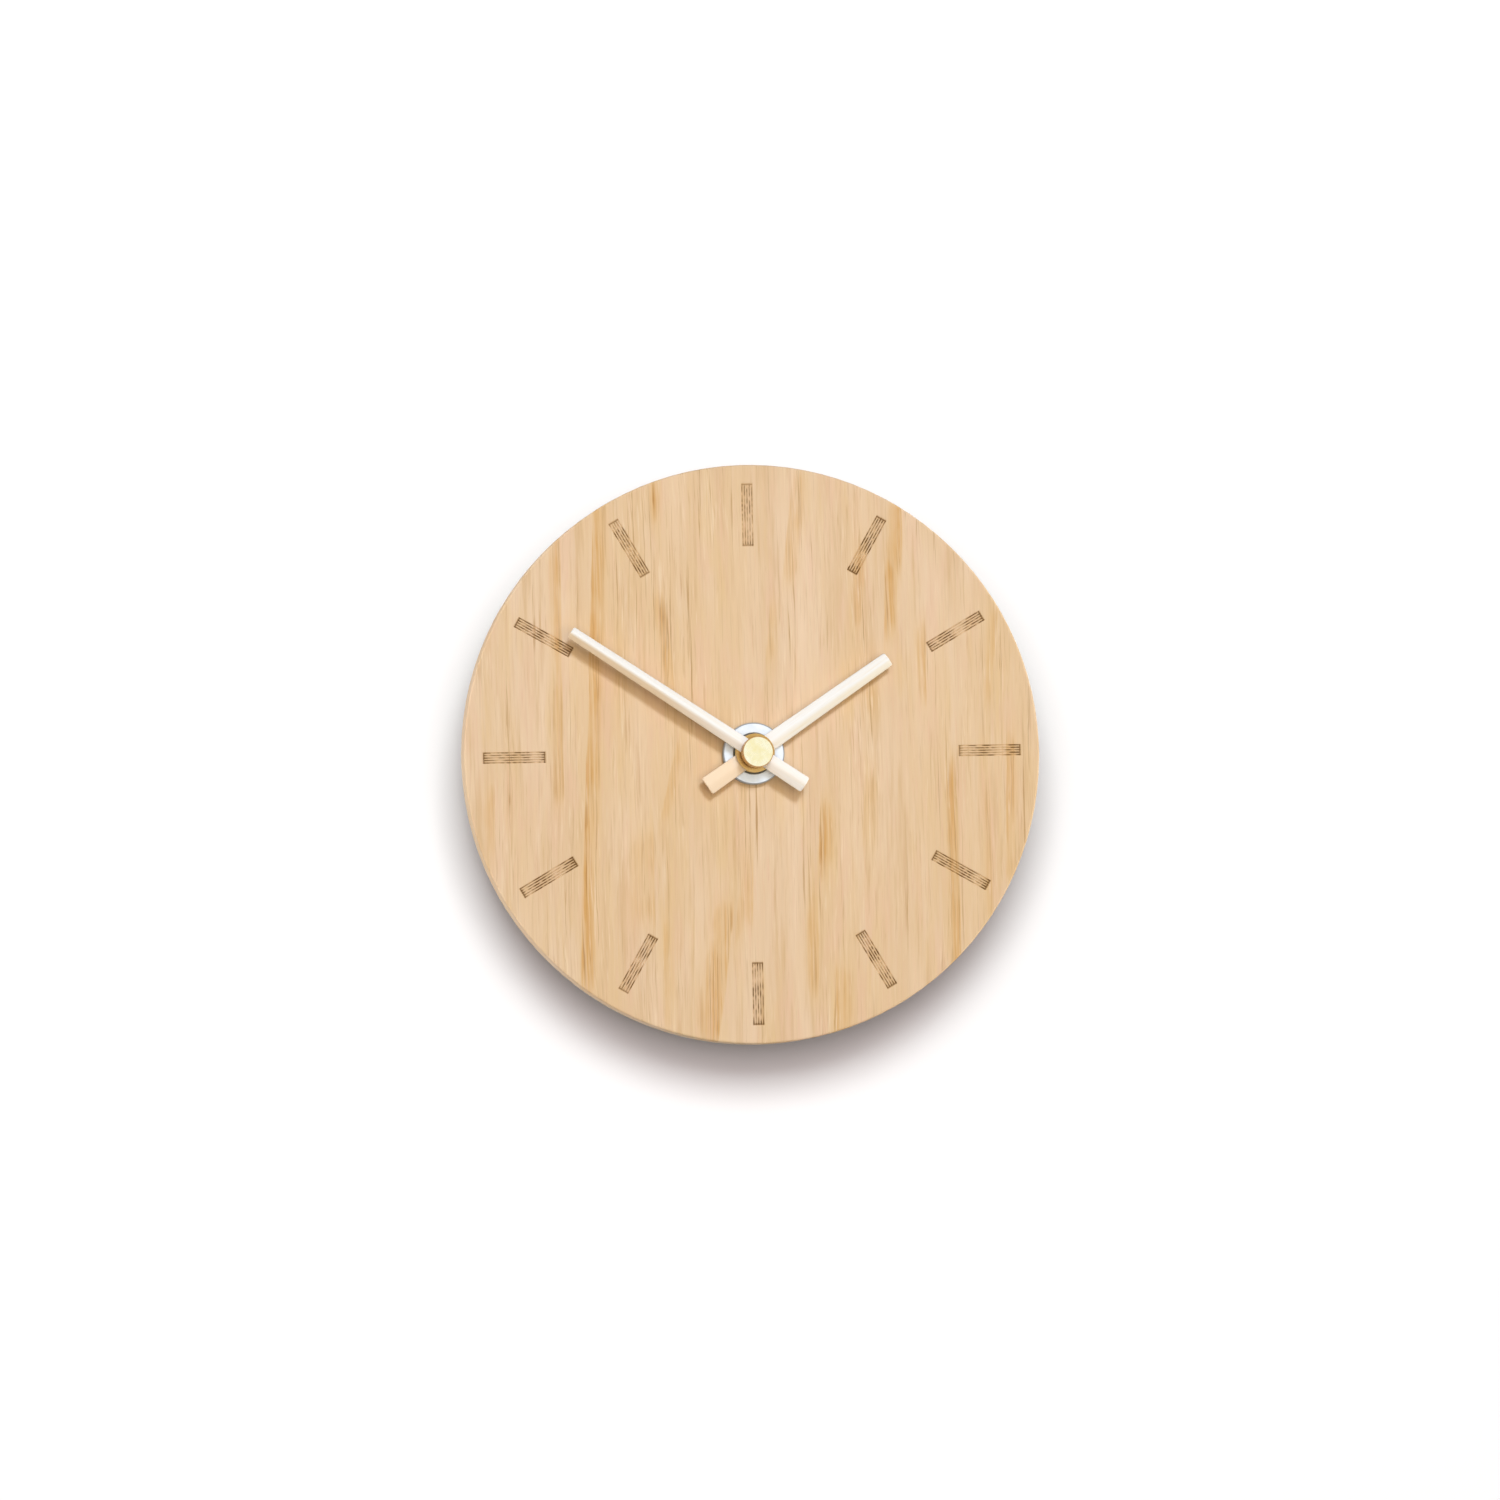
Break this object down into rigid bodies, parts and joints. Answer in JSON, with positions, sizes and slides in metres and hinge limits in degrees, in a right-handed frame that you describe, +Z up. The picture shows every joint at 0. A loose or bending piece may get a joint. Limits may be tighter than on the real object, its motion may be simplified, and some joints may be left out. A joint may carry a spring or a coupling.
{
  "type": "wall clock",
  "caption": "Round wooden wall clock with engraved hour bars, wooden hands under a brass cap, and a battery quartz movement with a hanging eye behind the dial.",
  "frame": {"origin": "on the wall plane, the flat back of the movement case, at the axis of the hands", "axes": "+Z up to twelve o'clock, +X to three o'clock, +Y into the wall, so the dial faces -Y"},
  "size_m": [0.15, 0.0363, 0.15],
  "materials": {
    "oak": "oiled",
    "pale_wood": "satin",
    "brass": "turned",
    "zinc": "zinc plated",
    "steel": "plain",
    "magnet": "sintered",
    "copper": "enamelled wire",
    "rubber": "matte",
    "black_plastic": "moulded",
    "white_plastic": "moulded",
    "board": "satin",
    "epoxy": "matte",
    "battery_sleeve": "printed film"
  },
  "bodies": {
    "clock_body": {"dial": "oak", "rubber_gasket": "rubber", "threaded_bush": "brass", "fixing_nut": "zinc", "case_front": "black_plastic", "case_back": "black_plastic", "train_plate": "white_plastic", "stator": "steel", "coil_core": "steel", "coil_bobbin": "white_plastic", "coil_winding": "copper", "circuit_board": "board", "quartz_crystal": "steel", "driver_chip": "epoxy", "contact_negative": "steel", "contact_positive": "steel"},
    "minute_body": {"minute_hand": "pale_wood", "minute_collet": "brass", "hand_cap": "brass", "cannon_pinion": "brass"},
    "hour_body": {"hour_hand": "pale_wood", "hour_collet": "brass", "hour_wheel": "white_plastic"},
    "motion_body": {"motion_wheel": "white_plastic"},
    "setting_body": {"set_knob": "white_plastic"},
    "seconds_body": {"seconds_wheel": "white_plastic", "seconds_arbor": "steel"},
    "centre_body": {"centre_wheel": "white_plastic"},
    "third_body": {"third_wheel": "white_plastic"},
    "intermediate_body": {"intermediate_wheel": "white_plastic"},
    "rotor_body": {"rotor_pinion": "white_plastic", "rotor_magnet": "magnet"},
    "battery_body": {"battery_cell": "battery_sleeve", "battery_terminal": "steel"}
  },
  "joints": [
    {"name": "minute_turn", "type": "hinge", "parent": "clock_body", "child": "minute_body", "pos_m": [0, 0, 0], "axis": [0, 1, 0], "continuous": true},
    {"name": "hour_turn", "type": "hinge", "parent": "clock_body", "child": "hour_body", "pos_m": [0, 0, 0], "axis": [0, 1, 0], "continuous": true},
    {"name": "motion_turn", "type": "hinge", "parent": "clock_body", "child": "motion_body", "pos_m": [0, 0, 0.009], "axis": [0, 1, 0], "continuous": true},
    {"name": "setting_turn", "type": "hinge", "parent": "clock_body", "child": "setting_body", "pos_m": [0, 0, 0.018], "axis": [0, 1, 0], "continuous": true},
    {"name": "seconds_turn", "type": "hinge", "parent": "clock_body", "child": "seconds_body", "pos_m": [0, 0, 0], "axis": [0, 1, 0], "continuous": true},
    {"name": "centre_turn", "type": "hinge", "parent": "clock_body", "child": "centre_body", "pos_m": [0, 0, 0], "axis": [0, 1, 0], "continuous": true},
    {"name": "third_turn", "type": "hinge", "parent": "clock_body", "child": "third_body", "pos_m": [-0.00836, 0, 0.00147], "axis": [0, 1, 0], "continuous": true},
    {"name": "intermediate_turn", "type": "hinge", "parent": "clock_body", "child": "intermediate_body", "pos_m": [0.00897, 0, 0.00078], "axis": [0, 1, 0], "continuous": true},
    {"name": "rotor_turn", "type": "hinge", "parent": "clock_body", "child": "rotor_body", "pos_m": [0.01599, 0, 0.00334], "axis": [0, 1, 0], "continuous": true},
    {"name": "battery_slide", "type": "slide", "parent": "clock_body", "child": "battery_body", "axis": [0, 1, 0], "range_m": [0, 0.02]}
  ],
  "couplings": [
    {"joint": "hour_turn", "follows": "minute_turn", "ratio": 0.083333},
    {"joint": "motion_turn", "follows": "minute_turn", "ratio": -0.33333},
    {"joint": "setting_turn", "follows": "minute_turn", "ratio": 1},
    {"joint": "rotor_turn", "follows": "seconds_turn", "ratio": 30},
    {"joint": "intermediate_turn", "follows": "seconds_turn", "ratio": -4},
    {"joint": "third_turn", "follows": "seconds_turn", "ratio": -0.13333},
    {"joint": "centre_turn", "follows": "seconds_turn", "ratio": 0.016667}
  ]
}
